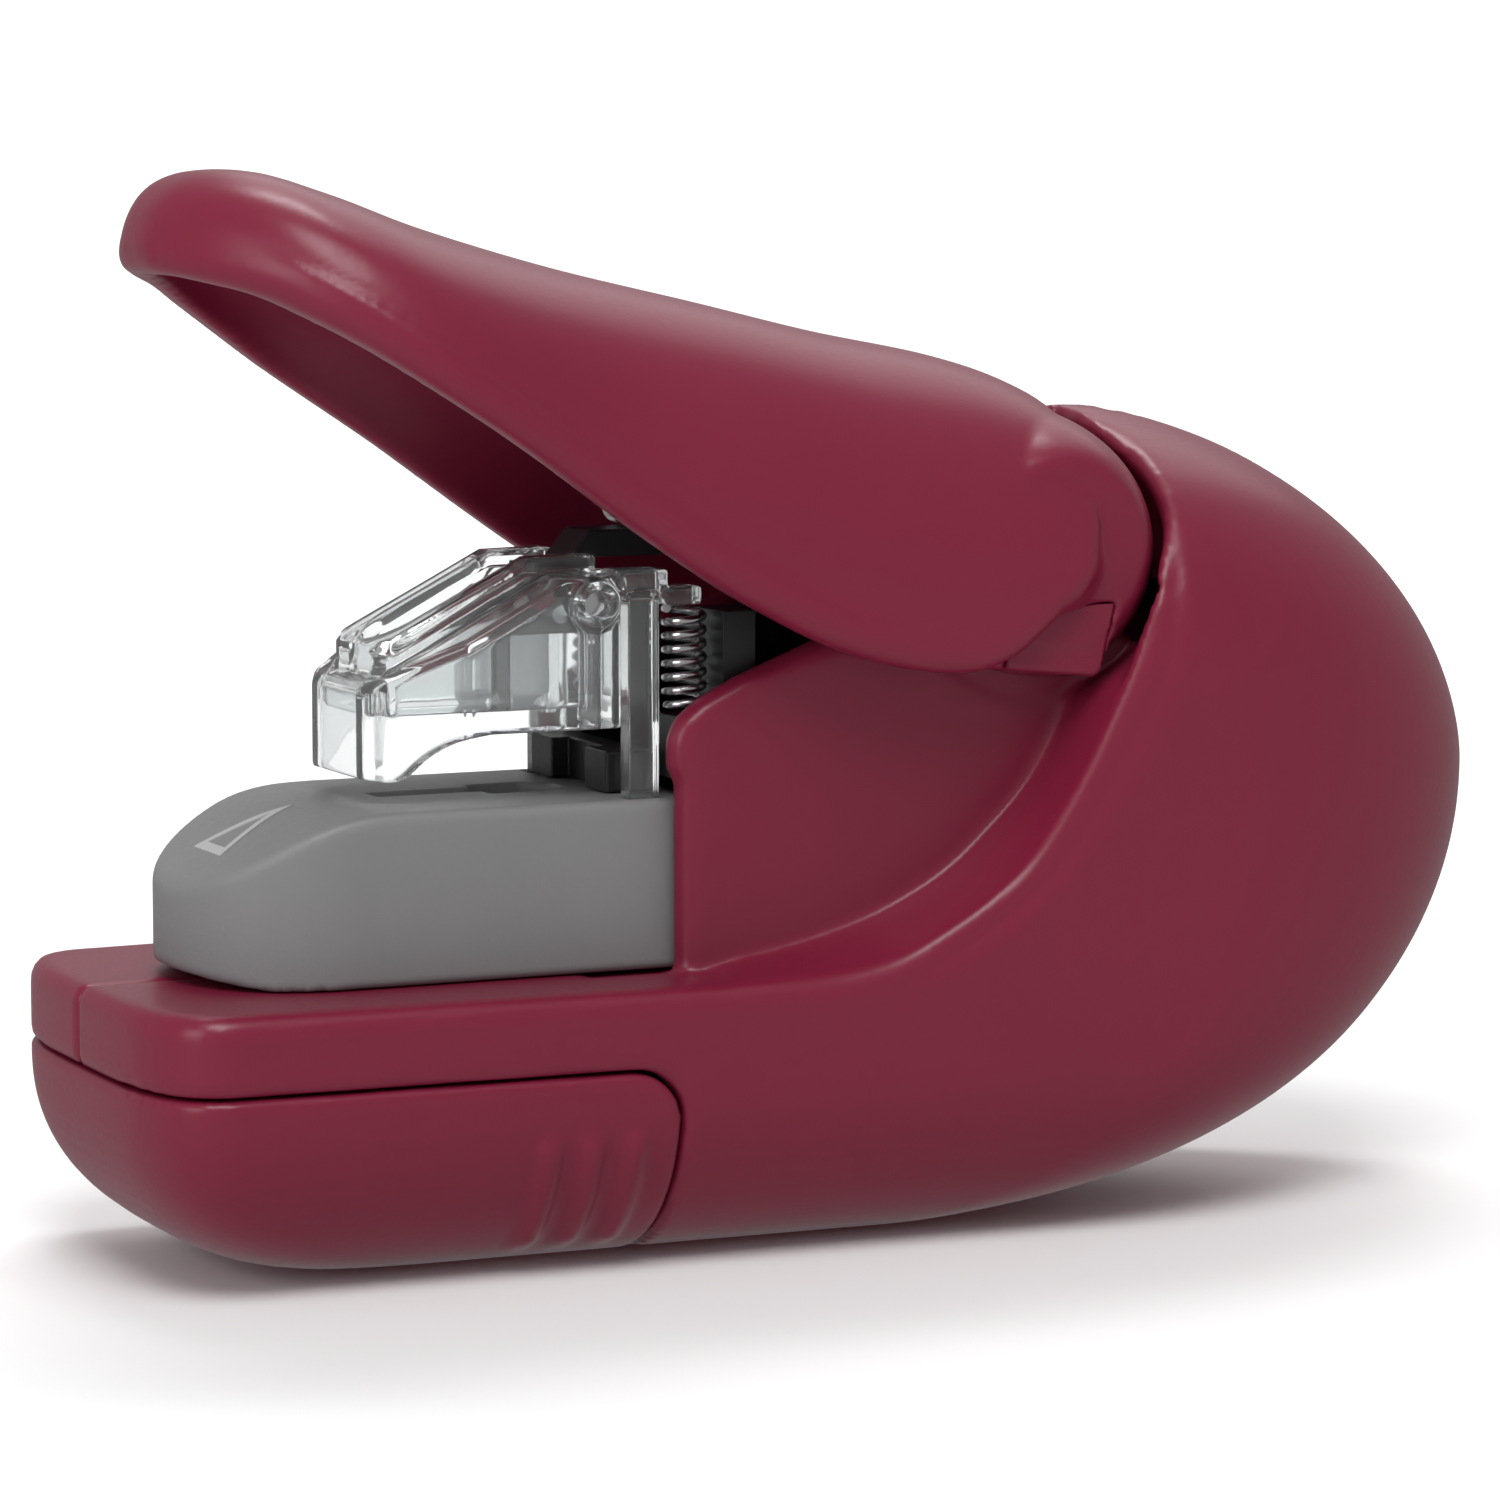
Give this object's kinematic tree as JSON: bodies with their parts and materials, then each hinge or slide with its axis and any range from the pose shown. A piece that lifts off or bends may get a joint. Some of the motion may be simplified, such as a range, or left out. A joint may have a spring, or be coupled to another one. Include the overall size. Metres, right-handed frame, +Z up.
{
  "type": "stapler",
  "caption": "Hand-held staple-free stapler: rounded body with a hinged hollow handle, clear clamp head over a gray anvil, cutting punch and a slide-off belly cover.",
  "frame": {"origin": "middle of the base's footprint, on the surface it stands on", "axes": "+X towards the nose, +Y to the left side, +Z up"},
  "size_m": [0.0962, 0.0362, 0.0668],
  "materials": {
    "red_shell": "satin burgundy moulded ABS",
    "gray_anvil": "matte gray moulded plastic",
    "pale_mark": "pale gray printed outline",
    "clear_plastic": "clear moulded polycarbonate",
    "black_plastic": "black moulded plastic",
    "steel": "bright steel"
  },
  "bodies": {
    "housing": {"body_shell_left": "red_shell", "body_shell_right": "red_shell", "case_screws": "steel", "anvil_block": "gray_anvil", "die_plate": "steel", "arrow_mark": "pale_mark", "anvil_screws": "steel", "inner_frame": "black_plastic", "frame_screws": "steel", "paper_stop": "black_plastic", "handle_pivot_pin": "steel", "return_springs": "steel", "handle_torsion_spring": "steel"},
    "cover": {"bottom_cover": "red_shell"},
    "handle": {"handle_shell": "red_shell", "handle_drum": "red_shell", "pivot_caps": "red_shell", "press_lever": "black_plastic", "press_roller": "steel"},
    "head": {"clear_head": "clear_plastic", "head_pins": "steel"},
    "punch": {"blade_carrier": "black_plastic", "tongue_punch": "steel", "slit_blade": "steel", "pusher_pin": "steel", "carrier_rivets": "steel"},
    "pusher": {"tongue_pusher": "black_plastic"}
  },
  "joints": [
    {"name": "handle_pivot", "type": "hinge", "parent": "housing", "child": "handle", "pos_m": [-0.0112, 0, 0.043], "axis": [0, 1, 0], "range_deg": [0, 22], "stiffness_Nm_per_rad": 0.12, "springref_deg": -14.32},
    {"name": "head_slide", "type": "slide", "parent": "housing", "child": "head", "axis": [0, 0, -1], "range_m": [0, 0.0011], "deforming": ["return_springs"]},
    {"name": "punch_slide", "type": "slide", "parent": "housing", "child": "punch", "axis": [0, 0, -1], "range_m": [0, 0.0086]},
    {"name": "pusher_pivot", "type": "hinge", "parent": "punch", "child": "pusher", "pos_m": [0.02005, 0, 0.0396], "axis": [0, -1, 0], "range_deg": [0, 9]},
    {"name": "cover_slide", "type": "slide", "parent": "housing", "child": "cover", "axis": [1, 0, 0], "range_m": [0, 0.012]}
  ],
  "couplings": [
    {"joint": "head_slide", "follows": "handle_pivot", "m_per_rad": 0.0028619},
    {"joint": "punch_slide", "follows": "handle_pivot", "m_per_rad": 0.022375},
    {"joint": "pusher_pivot", "follows": "handle_pivot", "ratio": 0.40868}
  ]
}
